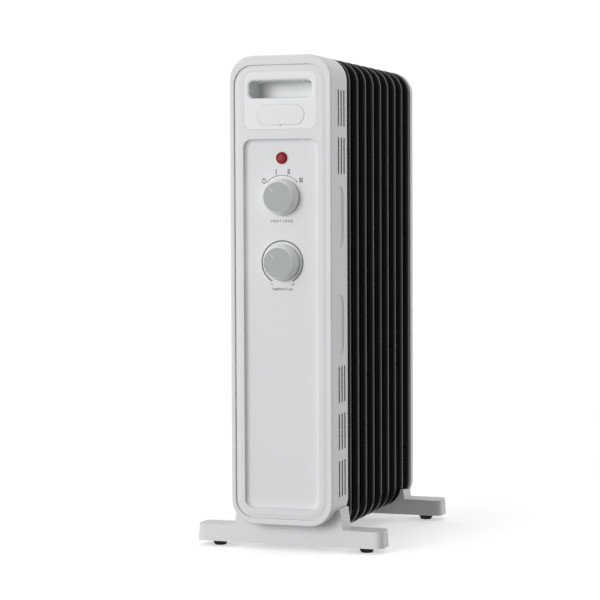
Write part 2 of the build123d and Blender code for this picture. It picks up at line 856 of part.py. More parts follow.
with BuildPart() as rear_cover_screws:
    with BuildSketch(at_y(y_cover_back - 3.0)):
        with Locations(*[(0, z) for z in header_levels]):
            Circle(3.2)
    extrude(amount=-2.4)
    with BuildSketch(at_y(y_cover_back - 3.0)):
        with Locations(*[(0, z) for z in header_levels]):
            Circle(screw_radius)
    extrude(amount=cover_wall + cover_boss_height - 3.0 + 5.0)

rear_cover_screws.part.label = "rear_cover_screws"
export_step(rear_cover_screws.part, "parts/rear_cover_screws.step")

# ---------------------------------------------------------------- feet

hole_spots = (-foot_screw_x, foot_screw_x)
u_bolt_x = header_radius + header_wall + u_bolt_radius + running_clearance
riser_base = bar_top - 2.0
draft = foot_bar_height * math.tan(math.radians(foot_draft))
side_wall = (riser_base_half - body_width / 2) + foot_wall

for name, y, saddle, front_top, back_top in (
    ("foot_front", y_foot_front, box_bottom, front_riser_top, front_riser_top),
    ("foot_rear", y_foot_rear, fin_bottom, rear_riser_front_top, rear_riser_back_top),
):
    y_front = y - foot_depth / 2
    y_back = y + foot_depth / 2
    with BuildPart() as foot:
        # Riser with sloping sides, cut to its sloping top
        with BuildSketch(at_y(y_front + draft)):
            with BuildLine():
                Polyline(
                    (-riser_base_half, riser_base),
                    (riser_base_half, riser_base),
                    (riser_top_half, front_riser_top),
                    (-riser_top_half, front_riser_top),
                    close=True,
                )
            make_face()
        extrude(amount=-(foot_depth - 2 * draft))
        with BuildSketch(Plane.YZ):
            with BuildLine():
                Polyline(
                    (y_front, riser_base),
                    (y_back, riser_base),
                    (y_back, back_top),
                    (y_front, front_top),
                    close=True,
                )
            make_face()
        extrude(amount=foot_width, both=True, mode=Mode.INTERSECT)
        with BuildSketch(Plane.XY.offset(pad_height)):
            with Locations((0, y)):
                RectangleRounded(foot_width, foot_depth, foot_corner_radius)
        extrude(amount=foot_bar_height, taper=foot_draft)
        # Saddle for the body that stands in it
        with BuildSketch(at_y(y_front)):
            outline(
                body_width + 2 * saddle_clearance,
                saddle,
                height,
                corner_radius + saddle_clearance,
            )
        extrude(amount=-foot_depth, mode=Mode.SUBTRACT)
        # Hollow underside beside the saddle, around the pad bosses
        with BuildSketch(Plane.XY.offset(pad_height)):
            with Locations((0, y)):
                RectangleRounded(foot_width - 2 * foot_wall - 2 * draft, foot_depth - 2 * foot_wall - 2 * draft, 4)
                Rectangle(2 * (riser_base_half + foot_wall), foot_depth, mode=Mode.SUBTRACT)
            with Locations((-pad_x, y), (pad_x, y)):
                Circle(pad_top_radius + 1.5, mode=Mode.SUBTRACT)
        extrude(amount=foot_bar_height - foot_wall, mode=Mode.SUBTRACT)
        # Hollow under the saddle, around the fastening bosses
        with BuildSketch(Plane.XY.offset(pad_height)):
            with Locations((0, y)):
                Rectangle(2 * (body_width / 2 - corner_radius + 12), foot_depth - 2 * foot_wall - 2 * draft)
            if name == "foot_front":
                with Locations(*[(x, y) for x in hole_spots]):
                    Circle(8.0, mode=Mode.SUBTRACT)
        extrude(amount=saddle - pad_height - foot_wall, mode=Mode.SUBTRACT)
        # Pad stems
        with BuildSketch(Plane.XY.offset(pad_height)):
            with Locations((-pad_x, y), (pad_x, y)):
                Circle(pad_stem_radius + running_clearance)
        extrude(amount=pad_stem_length + 1.0, mode=Mode.SUBTRACT)
        # Fastening holes
        if name == "foot_front":
            with BuildSketch(Plane.XY.offset(pad_height)):
                with Locations(*[(x, y) for x in hole_spots]):
                    Circle(2 * foot_screw_radius + 0.3)
            extrude(amount=8.0, mode=Mode.SUBTRACT)
            with BuildSketch(Plane.XY.offset(pad_height)):
                with Locations(*[(x, y) for x in hole_spots]):
                    Circle(foot_screw_radius + running_clearance)
            extrude(amount=saddle - pad_height, mode=Mode.SUBTRACT)
        else:
            with BuildSketch(Plane.XY.offset(pad_height)):
                with Locations((-u_bolt_x, y_u_bolt), (u_bolt_x, y_u_bolt)):
                    Circle(u_bolt_nut_radius + 1.0)
            extrude(amount=saddle - pad_height - foot_wall, mode=Mode.SUBTRACT)
            with BuildSketch(Plane.XY.offset(pad_height)):
                with Locations((-u_bolt_x, y_u_bolt), (u_bolt_x, y_u_bolt)):
                    Circle(u_bolt_radius + running_clearance)
            extrude(amount=saddle - pad_height, mode=Mode.SUBTRACT)

    foot.part.label = name
    export_step(foot.part, f"parts/{name}.step")

    for side_name, side in (("left", -1), ("right", 1)):
        with BuildPart() as pad:
            with BuildSketch(Plane.XY):
                with Locations((side * pad_x, y)):
                    Circle(pad_bottom_radius)
            spread = math.degrees(math.atan((pad_top_radius - pad_bottom_radius) / pad_height))
            extrude(amount=pad_height, taper=-spread)
            with BuildSketch(Plane.XY.offset(pad_height)):
                with Locations((side * pad_x, y)):
                    Circle(pad_stem_radius)
            extrude(amount=pad_stem_length)

        pad.part.label = name.replace("foot", "pad") + "_" + side_name
        export_step(pad.part, f"parts/{pad.part.label}.step")

bracket_z = box_bottom + box_wall

with BuildPart() as foot_bracket:
    with BuildSketch(Plane.XY.offset(bracket_z)):
        with Locations((0, y_foot_front)):
            Rectangle(2 * foot_screw_x - 4, foot_depth - 14)
        with Locations(*[(x, y_foot_front) for x in hole_spots]):
            Circle(9)
    extrude(amount=2.0)
    with BuildSketch(Plane.XY.offset(bracket_z + 2.0)):
        with Locations(*[(x, y_foot_front) for x in hole_spots]):
            Circle(5)
    extrude(amount=5.0)
    with BuildSketch(Plane.XY.offset(bracket_z)):
        with Locations(*[(x, y_foot_front) for x in hole_spots]):
            Circle(foot_screw_radius)
    extrude(amount=7.0, mode=Mode.SUBTRACT)

foot_bracket.part.label = "foot_bracket"
export_step(foot_bracket.part, "parts/foot_bracket.step")

head_z = pad_height + 8.0

with BuildPart() as foot_screws:
    with BuildSketch(Plane.XY.offset(head_z)):
        with Locations(*[(x, y_foot_front) for x in hole_spots]):
            Circle(2 * foot_screw_radius)
    extrude(amount=-3.0)
    with BuildSketch(Plane.XY.offset(head_z)):
        with Locations(*[(x, y_foot_front) for x in hole_spots]):
            Circle(foot_screw_radius)
    extrude(amount=bracket_z + 9.0 - head_z)

foot_screws.part.label = "foot_screws"
export_step(foot_screws.part, "parts/foot_screws.step")

bolt_end_z = pad_height + 0.5

with BuildPart() as u_bolt:
    with BuildLine(at_y(y_u_bolt)) as bolt_path:
        rise = Line((-u_bolt_x, bolt_end_z), (-u_bolt_x, lower_header_z))
        over = TangentArc(rise @ 1, (u_bolt_x, lower_header_z), tangent=rise % 1)
        Line(over @ 1, (u_bolt_x, bolt_end_z))
    with BuildSketch(Plane(origin=rise @ 0, z_dir=rise % 0)):
        Circle(u_bolt_radius)
    sweep(path=bolt_path.wire())

u_bolt.part.label = "u_bolt"
export_step(u_bolt.part, "parts/u_bolt.step")

with BuildPart() as u_bolt_nuts:
    with BuildSketch(Plane.XY.offset(fin_bottom - foot_wall)):
        with Locations((-u_bolt_x, y_u_bolt), (u_bolt_x, y_u_bolt)):
            RegularPolygon(u_bolt_nut_radius, 6)
            Circle(u_bolt_radius + running_clearance, mode=Mode.SUBTRACT)
    extrude(amount=-5.0)

u_bolt_nuts.part.label = "u_bolt_nuts"
export_step(u_bolt_nuts.part, "parts/u_bolt_nuts.step")

# ---------------------------------------------------------------- small parts inside the box

x_oval_floor = -(body_width / 2 - oval_depth)
x_wall_inside = -inner_width / 2
gland_length = 12.3
y_gland = y_rim + oval_setback

with BuildPart() as cable_gland:
    with BuildSketch(Plane.YZ.offset(x_oval_floor)):
        with Locations((y_gland, oval_centres[0])):
            Circle(gland_flange_radius)
    extrude(amount=-gland_flange_thickness)
    fillet(cable_gland.faces().sort_by(Axis.X)[0].edges(), 1.0)
    with BuildSketch(Plane.YZ.offset(x_oval_floor)):
        with Locations((y_gland, oval_centres[0])):
            Circle(gland_radius)
    extrude(amount=gland_length)
    with BuildSketch(Plane.YZ.offset(x_oval_floor + gland_length)):
        with Locations((y_gland, oval_centres[0])):
            Circle(gland_bore)
    extrude(amount=-(gland_length + gland_flange_thickness), mode=Mode.SUBTRACT)

cable_gland.part.label = "cable_gland"
export_step(cable_gland.part, "parts/cable_gland.step")

with BuildPart() as gland_nut:
    with BuildSketch(Plane.YZ.offset(x_wall_inside)):
        with Locations((y_gland, oval_centres[0])):
            RegularPolygon(gland_radius + 3.5, 6)
            Circle(gland_radius + running_clearance, mode=Mode.SUBTRACT)
    extrude(amount=4.0)

gland_nut.part.label = "gland_nut"
export_step(gland_nut.part, "parts/gland_nut.step")

y_terminal_front = y_plate - terminal_depth

with BuildPart() as terminal_block:
    with BuildSketch(at_y(y_plate)):
        with Locations((terminal_x, terminal_z)):
            RectangleRounded(terminal_width, terminal_tall, 1.5)
    extrude(amount=terminal_depth)
    # Grooves between the ways, and the clamp screw wells
    with BuildSketch(at_y(y_terminal_front)):
        with Locations((terminal_x, terminal_z)):
            with GridLocations(11, 1, 3, 1):
                Rectangle(1.5, terminal_tall)
    extrude(amount=-3.0, mode=Mode.SUBTRACT)

terminal_block.part.label = "terminal_block"
export_step(terminal_block.part, "parts/terminal_block.step")

with BuildPart() as thermal_cutout:
    with BuildSketch(at_y(y_plate)):
        with Locations((0, cutout_z)):
            Circle(cutout_radius)
    extrude(amount=cutout_depth)
    fillet(thermal_cutout.faces().sort_by(Axis.Y)[0].edges(), 1.0)

thermal_cutout.part.label = "thermal_cutout"
export_step(thermal_cutout.part, "parts/thermal_cutout.step")

tip_pivot_z = tip_switch_z + tip_tall / 2 - tip_pivot_drop
y_tip_front = y_plate - tip_depth

with BuildPart() as tip_switch_body:
    with BuildSketch(at_y(y_plate)):
        with Locations((tip_switch_x, tip_switch_z)):
            RectangleRounded(tip_width, tip_tall, 2)
    extrude(amount=tip_depth)
    with BuildSketch(at_y(y_plate - tip_wall)):
        with Locations((tip_switch_x, tip_switch_z)):
            Rectangle(tip_width - 2 * tip_wall, tip_tall - 2 * tip_wall)
    extrude(amount=tip_depth - 2 * tip_wall, mode=Mode.SUBTRACT)
    with BuildSketch(at_y(y_plate)):
        with Locations((tip_switch_x, tip_pivot_z)):
            Circle(tip_pin_radius + running_clearance)
    extrude(amount=tip_depth, mode=Mode.SUBTRACT)

tip_switch_body.part.label = "tip_switch_body"
export_step(tip_switch_body.part, "parts/tip_switch_body.step")

with BuildPart() as tip_switch_pin:
    with BuildSketch(at_y(y_plate)):
        with Locations((tip_switch_x, tip_pivot_z)):
            Circle(tip_pin_radius)
    extrude(amount=tip_depth)

tip_switch_pin.part.label = "tip_switch_pin"
export_step(tip_switch_pin.part, "parts/tip_switch_pin.step")

hub_length = tip_depth - 2 * tip_wall - 2 * pendulum_play
y_hub_front = y_tip_front + tip_wall + pendulum_play

with BuildPart() as tip_pendulum:
    with BuildSketch(at_y(y_hub_front)):
        with Locations((tip_switch_x, tip_pivot_z)):
            Circle(hub_radius)
    extrude(amount=-hub_length)
    with BuildSketch(at_y(y_hub_front + 4.0)):
        with Locations((tip_switch_x, tip_pivot_z - pendulum_length / 2)):
            Rectangle(4.0, pendulum_length)
        with Locations((tip_switch_x, tip_pivot_z - pendulum_length)):
            Circle(bob_radius)
    extrude(amount=-(hub_length - 8.0))
    with BuildSketch(at_y(y_hub_front)):
        with Locations((tip_switch_x, tip_pivot_z)):
            Circle(tip_pin_radius + running_clearance)
    extrude(amount=-hub_length, mode=Mode.SUBTRACT)

tip_pendulum.part.label = "tip_pendulum"
export_step(tip_pendulum.part, "parts/tip_pendulum.step")

# Leads: each runs square, with rounded corners, between two faces
y_lead = y_terminal_front + 4.0
y_lead_rear = y_terminal_front + 9.0
y_terminals = y_switch_back + 8.0
x_lead_gland = x_oval_floor + gland_length
x_lead_down = x_lead_gland + 2 * wire_bend
lead_paths = (
    # Gland to the terminal block
    (
        (x_lead_gland, y_gland, oval_centres[0]),
        (x_lead_down, y_gland, oval_centres[0]),
        (x_lead_down, y_gland, terminal_z),
        (x_lead_down, y_terminal_front, terminal_z),
    ),
    # Terminal block to the heat switch
    (
        (terminal_x + 6, y_lead_rear, terminal_z + terminal_tall / 2),
        (terminal_x + 6, y_lead_rear, heat_z - 7),
        (-6, y_lead_rear, heat_z - 7),
        (-6, y_terminals, heat_z - 7),
    ),
    # Terminal block to the thermostat
    (
        (terminal_x - 6, y_lead, terminal_z + terminal_tall / 2),
        (terminal_x - 6, y_lead, thermostat_z),
        (36, y_lead, thermostat_z),
        (36, y_thermostat_back + 1.0, thermostat_z),
    ),
    # Terminal block to the heating element
    (
        (terminal_x + 12, y_lead, terminal_z - terminal_tall / 2),
        (terminal_x + 12, y_lead, terminal_z - 30),
        (-hairpin_half_width, y_lead, terminal_z - 30),
        (-hairpin_half_width, y_lead, hairpin_levels[1]),
        (-hairpin_half_width, y_element_front, hairpin_levels[1]),
    ),
    # Lamp to the heat switch
    (
        (6, y_holder_back, lamp_z),
        (6, y_lead_rear, lamp_z),
        (6, y_lead_rear, heat_z + 7),
        (6, y_terminals, heat_z + 7),
    ),
    # Tip switch to the thermal cutout
    (
        (tip_switch_x, y_lead, tip_switch_z + tip_tall / 2),
        (tip_switch_x, y_lead, cutout_z),
        (0, y_lead, cutout_z),
        (0, y_plate - cutout_depth, cutout_z),
    ),
)

with BuildPart() as wiring:
    for points in lead_paths:
        with BuildLine() as lead:
            FilletPolyline(*points, radius=wire_bend)
        first = lead.wire()
        with BuildSketch(Plane(origin=first @ 0, z_dir=first % 0)):
            Circle(wire_radius)
        sweep(path=first)

wiring.part.label = "wiring"
export_step(wiring.part, "parts/wiring.step")
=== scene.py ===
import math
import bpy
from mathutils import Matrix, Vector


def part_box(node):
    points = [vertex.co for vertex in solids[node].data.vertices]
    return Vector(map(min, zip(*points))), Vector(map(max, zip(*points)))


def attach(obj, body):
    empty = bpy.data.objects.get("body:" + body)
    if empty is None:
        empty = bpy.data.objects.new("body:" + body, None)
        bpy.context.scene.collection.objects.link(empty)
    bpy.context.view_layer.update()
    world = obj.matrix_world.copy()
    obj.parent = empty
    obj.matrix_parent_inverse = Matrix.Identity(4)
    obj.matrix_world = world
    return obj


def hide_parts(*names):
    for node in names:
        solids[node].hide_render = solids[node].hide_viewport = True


bl_info = {
    "name": "Oil filled radiator heater",
    "version": (1, 0, 0),
    "blender": (4, 5, 0),
    "location": "View3D > Sidebar > Heater",
    "description": "Finishes a column heater around its solid model: mouldings, enamel, dials and studio",
    "category": "Object",
}

import bmesh
import bpy
from bpy.props import FloatProperty, FloatVectorProperty, IntProperty, PointerProperty, StringProperty
from mathutils import Matrix, Vector

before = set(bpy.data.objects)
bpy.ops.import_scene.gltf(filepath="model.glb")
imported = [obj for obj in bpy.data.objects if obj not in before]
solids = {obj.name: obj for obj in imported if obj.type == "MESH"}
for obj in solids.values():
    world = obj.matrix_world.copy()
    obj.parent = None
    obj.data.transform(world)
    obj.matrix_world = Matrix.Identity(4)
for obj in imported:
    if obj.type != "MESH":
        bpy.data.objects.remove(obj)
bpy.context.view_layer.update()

MM = 0.001
PANEL_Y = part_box("bushing_nuts")[1].y
FASCIA_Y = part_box("front_fascia")[0].y
MAIN_BODY = "heater"
TO_PANEL = Matrix.Rotation(math.pi / 2, 4, "X")


def middle_of(node):
    """The middle of a solid's box."""
    low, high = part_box(node)
    return (low + high) / 2


HEAT_DIAL = middle_of("heat_knob")
THERMOSTAT_DIAL = middle_of("thermostat_knob")
LAMP = middle_of("indicator_lens")
BADGE = middle_of("badge_plate")

# Where the vent slots lie: between a lowest and a highest height, no nearer than the gap to the middle
# height, and behind a strip at the front of each side wall
VENTS_MIDDLE = 350.0 * MM
VENTS_GAP = 117.0 * MM
VENTS_LOWEST = 66.0 * MM
VENTS_HIGHEST = 575.5 * MM
VENTS_FRONT = 24.0 * MM
# Colour of the painted shade deep inside the vent slots
VENTS_PAINTED_SHADE = (0.05, 0.052, 0.055)
# Heights of the dark sheets that paint shade behind the vent slots
SHADE_SHEET_ZONES = ((60.0 * MM, 240.0 * MM), (460.0 * MM, 580.0 * MM))

# Heat scale: the dots in degrees from straight up, the arcs between them as (start, sweep), and the
# numerals as (bars, x, y, width) in millimetres from the dial
SCALE_DOTS = (-45.0, -15.0, 15.0, 45.0)
SCALE_ARCS = ((-41.5, 23.0), (-11.0, 22.0), (18.5, 23.0))
NUMERALS = ((1, -7.5, 31.1, 2.3), (2, 8.8, 31.3, 3.9), (3, 24.7, 20.7, 5.0))
ZERO_PLACE = (-23.5 * MM, 19.9 * MM, 0.0)

# Camera place, and its turn, tilt and roll in radians
CAMERA_PLACE = (0.81125, -2.46409, 0.42576)
CAMERA_TURN = 0.3316
CAMERA_TILT = -0.046
CAMERA_ROLL = -0.0043


# ---------------------------------------------------------------- settings


class HeaterColours(bpy.types.PropertyGroup):
    """Colours of the heater's finishes."""

    casing: FloatVectorProperty(
        name="Casing",
        description="Moulded casing, fascia, rear cover and feet",
        subtype="COLOR",
        min=0.0,
        max=1.0,
        default=(0.80, 0.815, 0.82),
    )
    knob: FloatVectorProperty(
        name="Dials",
        description="Faces of the two rotary dials",
        subtype="COLOR",
        min=0.0,
        max=1.0,
        default=(0.46, 0.48, 0.485),
    )
    # The dial sides' colour is lighter than the casing: painted light on the sides of the dials
    knob_side_painted_light: FloatVectorProperty(
        name="Dial sides",
        description="Sides of the two rotary dials",
        subtype="COLOR",
        min=0.0,
        max=1.0,
        default=(0.88, 0.905, 0.915),
    )
    enamel: FloatVectorProperty(
        name="Fins",
        description="Satin enamel on the fins and collectors",
        subtype="COLOR",
        min=0.0,
        max=1.0,
        default=(0.0048, 0.0050, 0.0058),
    )
    lens: FloatVectorProperty(
        name="Indicator lens",
        description="Translucent lens over the lamp",
        subtype="COLOR",
        min=0.0,
        max=1.0,
        default=(0.36, 0.008, 0.018),
    )
    ink: FloatVectorProperty(
        name="Printed marks",
        description="Ink of the dial marks",
        subtype="COLOR",
        min=0.0,
        max=1.0,
        default=(0.19, 0.20, 0.205),
    )


class HeaterSizes(bpy.types.PropertyGroup):
    """Sizes of the details that are added to the solid model."""

    ink_depth: FloatProperty(
        name="Ink depth",
        description="How far the printed marks stand off the panel",
        subtype="DISTANCE",
        unit="LENGTH",
        default=0.08 * MM,
    )
    scale_radius: FloatProperty(
        name="Heat scale radius",
        description="Radius of the arc that joins the heat dial's dots",
        subtype="DISTANCE",
        unit="LENGTH",
        default=27.0 * MM,
    )
    scale_line: FloatProperty(
        name="Heat scale line",
        description="Width of the arc line over the heat dial",
        subtype="DISTANCE",
        unit="LENGTH",
        default=0.75 * MM,
    )
    dot_radius: FloatProperty(
        name="Dot radius",
        description="Radius of the dots on the heat scale",
        subtype="DISTANCE",
        unit="LENGTH",
        default=1.0 * MM,
    )
    ring_radius: FloatProperty(
        name="Thermostat ring radius",
        description="Radius of the open ring round the thermostat dial",
        subtype="DISTANCE",
        unit="LENGTH",
        default=26.6 * MM,
    )
    ring_line: FloatProperty(
        name="Thermostat ring line",
        description="Width of the ring's line",
        subtype="DISTANCE",
        unit="LENGTH",
        default=1.75 * MM,
    )
    numeral_height: FloatProperty(
        name="Numeral height",
        description="Height of the bars of the heat scale",
        subtype="DISTANCE",
        unit="LENGTH",
        default=5.6 * MM,
    )
    lens_face: FloatProperty(
        name="Lens face radius",
        description="Radius of the flat front of the indicator lens",
        subtype="DISTANCE",
        unit="LENGTH",
        default=4.3 * MM,
    )
    pointer_length: FloatProperty(
        name="Pointer length",
        description="Length of the pale mark in each dial's groove",
        subtype="DISTANCE",
        unit="LENGTH",
        default=7.2 * MM,
    )
    pointer_line: FloatProperty(
        name="Pointer line",
        description="Width of the pale mark in each dial's groove",
        subtype="DISTANCE",
        unit="LENGTH",
        default=0.9 * MM,
    )
    pointer_reach: FloatProperty(
        name="Pointer reach",
        description="Distance from the middle of a dial to the middle of its mark",
        subtype="DISTANCE",
        unit="LENGTH",
        default=12.4 * MM,
    )
    word_height: FloatProperty(
        name="Word height",
        description="Height of the letters under the dials",
        subtype="DISTANCE",
        unit="LENGTH",
        default=3.3 * MM,
    )
    round_steps: IntProperty(
        name="Round steps",
        description="Steps in a full turn of a turned piece",
        min=24,
        max=256,
        default=96,
    )


class HeaterStudio(bpy.types.PropertyGroup):
    """Light and camera of the studio."""

    fill: FloatProperty(name="Fill", description="Even light from all round", min=0.0, default=0.20)
    left: FloatProperty(name="Left side", description="Light from the front left", min=0.0, default=0.35)
    backdrop: FloatProperty(
        name="Backdrop", description="Light from the white backdrop", min=0.0, default=0.76
    )
    key: FloatProperty(
        name="Key light",
        description="Power of the large light at the front left",
        subtype="POWER",
        unit="POWER",
        default=50.0,
    )
    overhead: FloatProperty(
        name="Overhead light",
        description="Power of the light above",
        subtype="POWER",
        unit="POWER",
        default=9.0,
    )
    lens_length: FloatProperty(
        name="Camera lens",
        description="Focal length of the camera in millimetres",
        min=10.0,
        default=118.11,
    )
    floor_radius: FloatProperty(
        name="Floor radius",
        description="Radius of the round studio floor",
        subtype="DISTANCE",
        unit="LENGTH",
        default=1.6,
    )


class HeaterWords(bpy.types.PropertyGroup):
    """The plain words under the dials."""

    heat: StringProperty(name="Heat word", description="Word under the heat dial", default="HEAT LEVEL")
    thermostat: StringProperty(
        name="Thermostat word", description="Word under the thermostat dial", default="TEMPERATURE"
    )


# ---------------------------------------------------------------- finishes


def blank_finish(name):
    """A new material with its shader and object coordinates."""
    finish = bpy.data.materials.new(name)
    finish.use_nodes = True
    tree = finish.node_tree
    shader = tree.nodes["Principled BSDF"]
    place = tree.nodes.new("ShaderNodeTexCoord")
    return finish, tree, shader, place.outputs["Object"]


def noise(tree, place, scale, detail=2.0, stretch=None):
    """A noise value at a scale in cycles per metre, which may be stretched along an axis."""
    if stretch is not None:
        mapping = tree.nodes.new("ShaderNodeMapping")
        mapping.inputs["Scale"].default_value = stretch
        tree.links.new(place, mapping.inputs["Vector"])
        place = mapping.outputs["Vector"]
    grain = tree.nodes.new("ShaderNodeTexNoise")
    grain.inputs["Scale"].default_value = scale
    grain.inputs["Detail"].default_value = detail
    tree.links.new(place, grain.inputs["Vector"])
    return grain.outputs["Fac"]


def spread(tree, value, low, high):
    """A noise value moved to the range from low to high."""
    node = tree.nodes.new("ShaderNodeMapRange")
    node.inputs["From Min"].default_value = 0.3
    node.inputs["From Max"].default_value = 0.7
    node.inputs["To Min"].default_value = low
    node.inputs["To Max"].default_value = high
    tree.links.new(value, node.inputs["Value"])
    return node.outputs["Result"]


def tint(tree, value, colour, low, high):
    """The colour made a little darker or lighter by a noise value."""
    node = tree.nodes.new("ShaderNodeMix")
    node.data_type = "RGBA"
    node.inputs[6].default_value = [*(c * low for c in colour), 1.0]
    node.inputs[7].default_value = [*(min(1.0, c * high) for c in colour), 1.0]
    tree.links.new(value, node.inputs[0])
    return node.outputs[2]


def bump(tree, shader, value, strength, distance):
    """Relief from a noise value, added on top of any relief the shader has."""
    node = tree.nodes.new("ShaderNodeBump")
    node.inputs["Strength"].default_value = strength
    node.inputs["Distance"].default_value = distance
    tree.links.new(value, node.inputs["Height"])
    normal = shader.inputs["Normal"]
    if normal.is_linked:
        tree.links.new(normal.links[0].from_socket, node.inputs["Normal"])
    tree.links.new(node.outputs["Normal"], normal)


def arithmetic(tree, operation, first, second=None):
    """A maths node's result, where each value is a socket or a number."""
    node = tree.nodes.new("ShaderNodeMath")
    node.operation = operation
    for index, value in enumerate((first, second)):
        if isinstance(value, float):
            node.inputs[index].default_value = value
        elif value is not None:
            tree.links.new(value, node.inputs[index])
    return node.outputs["Value"]


def facing(tree, place, toward):
    """How far a direction points toward another, from minus one to one."""
    node = tree.nodes.new("ShaderNodeVectorMath")
    node.operation = "DOT_PRODUCT"
    node.inputs[1].default_value = toward
    tree.links.new(place, node.inputs[0])
    return node.outputs["Value"]


def ramp(tree, value, start, end, top=1.0, smooth=False):
    """A value moved from the range start to end to the range zero to top."""
    node = tree.nodes.new("ShaderNodeMapRange")
    if smooth:
        node.interpolation_type = "SMOOTHSTEP"
    node.inputs["From Min"].default_value = start
    node.inputs["From Max"].default_value = end
    node.inputs["To Max"].default_value = top
    tree.links.new(value, node.inputs["Value"])
    return node.outputs["Result"]


def lay_over(tree, shader, mask, colour):
    """Lays a second colour over the shader's own where the mask is one."""
    blend = tree.nodes.new("ShaderNodeMix")
    blend.data_type = "RGBA"
    blend.inputs[7].default_value = (*colour, 1.0)
    tree.links.new(mask, blend.inputs[0])
    tree.links.new(shader.inputs["Base Color"].links[0].from_socket, blend.inputs[6])
    tree.links.new(blend.outputs[2], shader.inputs["Base Color"])


def moulded(name, colour, roughness, grain=0.05, gloss=0.5):
    """Injection moulded plastic: even colour, fine spark texture and a satin sheen."""
    finish, tree, shader, place = blank_finish(name)
    cloud = noise(tree, place, 11.0, 2.0)
    tree.links.new(tint(tree, cloud, colour, 0.975, 1.015), shader.inputs["Base Color"])
    patches = noise(tree, place, 65.0, 3.0)
    tree.links.new(spread(tree, patches, roughness - 0.03, roughness + 0.04), shader.inputs["Roughness"])
    shader.inputs["Specular IOR Level"].default_value = gloss
    bump(tree, shader, noise(tree, place, 2200.0, 1.0), grain, 0.00012)
    bump(tree, shader, noise(tree, place, 24.0, 1.0), 0.03, 0.0008)
    return finish


def slots_with_painted_shade(name, colour):
    """Casing plastic with painted shade that darkens with depth inside the vent slots of the side walls."""
    finish = moulded(name, colour, 0.36)
    tree = finish.node_tree
    shader = tree.nodes["Principled BSDF"]
    place = tree.nodes.new("ShaderNodeTexCoord")
    axes = tree.nodes.new("ShaderNodeSeparateXYZ")
    tree.links.new(place.outputs["Object"], axes.inputs["Vector"])
    low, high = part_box("control_box_housing")
    across = arithmetic(tree, "ABSOLUTE", axes.outputs["X"])
    shallow, deep = 0.35 * MM, 1.0 * MM
    mask = ramp(tree, across, high.x - shallow, high.x - deep)
    above_middle = arithmetic(tree, "SUBTRACT", axes.outputs["Z"], VENTS_MIDDLE)
    from_middle = arithmetic(tree, "ABSOLUTE", above_middle)
    for value, test, limit in (
        (axes.outputs["Y"], "GREATER_THAN", low.y + VENTS_FRONT),
        (axes.outputs["Z"], "GREATER_THAN", VENTS_LOWEST),
        (axes.outputs["Z"], "LESS_THAN", VENTS_HIGHEST),
        (from_middle, "GREATER_THAN", VENTS_GAP),
    ):
        mask = arithmetic(tree, "MULTIPLY", mask, arithmetic(tree, test, value, limit))
    # Paints shade over the casing colour deep inside the slots
    lay_over(tree, shader, mask, VENTS_PAINTED_SHADE)
    return finish


def enamelled(name, colour):
    """Satin stove enamel: a faint orange peel over pressed sheet."""
    finish, tree, shader, place = blank_finish(name)
    tree.links.new(tint(tree, noise(tree, place, 14.0), colour, 0.85, 1.2), shader.inputs["Base Color"])
    tree.links.new(spread(tree, noise(tree, place, 40.0, 3.0), 0.26, 0.32), shader.inputs["Roughness"])
    shader.inputs["Specular IOR Level"].default_value = 0.2
    bump(tree, shader, noise(tree, place, 420.0, 2.0), 0.03, 0.0002)
    return finish


def plated(name, colour, roughness, streak=(1.0, 1.0, 1.0)):
    """Bright plated metal with fine streaks and a slightly cloudy sheen."""
    finish, tree, shader, place = blank_finish(name)
    tree.links.new(tint(tree, noise(tree, place, 90.0, 3.0), colour, 0.86, 1.06), shader.inputs["Base Color"])
    shader.inputs["Metallic"].default_value = 1.0
    streaks = noise(tree, place, 900.0, 2.0, streak)
    tree.links.new(spread(tree, streaks, roughness - 0.08, roughness + 0.12), shader.inputs["Roughness"])
    bump(tree, shader, streaks, 0.08, 0.0001)
    return finish


def rubbery(name, colour):
    """Matt black rubber with a fine open grain."""
    finish, tree, shader, place = blank_finish(name)
    tree.links.new(tint(tree, noise(tree, place, 120.0, 4.0), colour, 0.7, 1.5), shader.inputs["Base Color"])
    tree.links.new(spread(tree, noise(tree, place, 500.0, 2.0), 0.62, 0.8), shader.inputs["Roughness"])
    bump(tree, shader, noise(tree, place, 900.0, 3.0), 0.25, 0.0002)
    return finish


def glassy(name, colour, roughness, transmission, coat):
    """Clear or tinted plastic with a polished skin."""
    finish, tree, shader, place = blank_finish(name)
    cloud = noise(tree, place, 240.0, 2.0)
    tree.links.new(tint(tree, cloud, colour, 0.85, 1.15), shader.inputs["Base Color"])
    haze = noise(tree, place, 300.0, 2.0)
    tree.links.new(spread(tree, haze, roughness, roughness + 0.05), shader.inputs["Roughness"])
    shader.inputs["IOR"].default_value = 1.49
    shader.inputs["Transmission Weight"].default_value = transmission
    shader.inputs["Coat Weight"].default_value = coat
    shader.inputs["Coat Roughness"].default_value = 0.08
    bump(tree, shader, noise(tree, place, 700.0, 1.0), 0.03, 0.0001)
    return finish


def dial_finish(name, side_colour_with_painted_light, face_colour):
    """Satin plastic in the side's colour, with the face's colour where it looks along -Y; the side's lighter
    colour is painted light on the dial sides.
    """
    finish = moulded(name, side_colour_with_painted_light, 0.34, 0.03)
    tree = finish.node_tree
    shader = tree.nodes["Principled BSDF"]
    place = tree.nodes.new("ShaderNodeTexCoord")
    toward = facing(tree, place.outputs["Normal"], (0.0, -1.0, 0.0))
    rim, flat = 0.90, 0.97
    lay_over(tree, shader, ramp(tree, toward, rim, flat), face_colour)
    return finish


def printed(name, colour):
    """Thin pad-printed ink, slightly uneven in tone."""
    finish, tree, shader, place = blank_finish(name)
    speckle = noise(tree, place, 700.0, 3.0)
    tree.links.new(tint(tree, speckle, colour, 0.88, 1.12), shader.inputs["Base Color"])
    tree.links.new(spread(tree, noise(tree, place, 900.0, 2.0), 0.45, 0.6), shader.inputs["Roughness"])
    return finish


